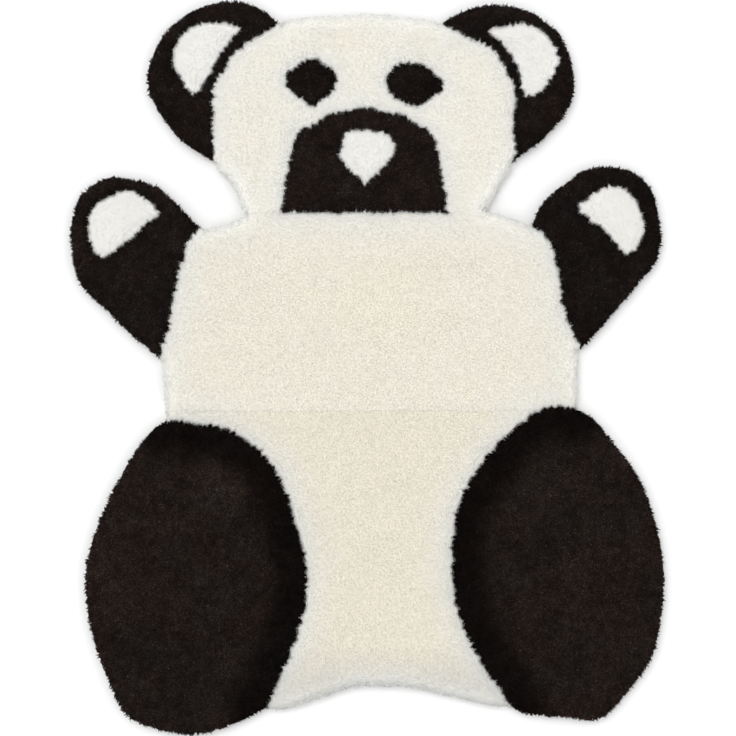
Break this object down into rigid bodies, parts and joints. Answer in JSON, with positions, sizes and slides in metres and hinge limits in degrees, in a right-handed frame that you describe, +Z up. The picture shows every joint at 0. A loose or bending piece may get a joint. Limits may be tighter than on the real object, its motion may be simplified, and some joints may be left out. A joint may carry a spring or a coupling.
{
  "type": "sheepskin rug",
  "caption": "Flat panda-shaped sheepskin rug of shorn cream and dark wool, with ears, arms and rounded legs pieced edge to edge.",
  "frame": {"origin": "under the middle of the bounding box, on the surface that the hide side lies on", "axes": "+Z up out of the wool, +Y towards the head, +X to the right of the picture seen from above"},
  "size_m": [0.732, 0.9034, 0.0269],
  "materials": {
    "ivory_wool": "matt, soft, warm ivory shorn wool",
    "white_wool": "matt, soft, near-white shorn wool",
    "black_wool": "matt, soft, very dark brown shorn wool"
  },
  "bodies": {
    "root": {"head": "ivory_wool", "chest": "ivory_wool", "belly": "ivory_wool", "ear_left": "black_wool", "ear_right": "black_wool", "ear_inner_left": "white_wool", "ear_inner_right": "white_wool", "arm_left": "black_wool", "arm_right": "black_wool", "paw_pad_left": "white_wool", "paw_pad_right": "white_wool", "leg_left": "black_wool", "leg_right": "black_wool", "eye_left": "black_wool", "eye_right": "black_wool", "muzzle": "black_wool", "nose": "white_wool"}
  },
  "joints": []
}
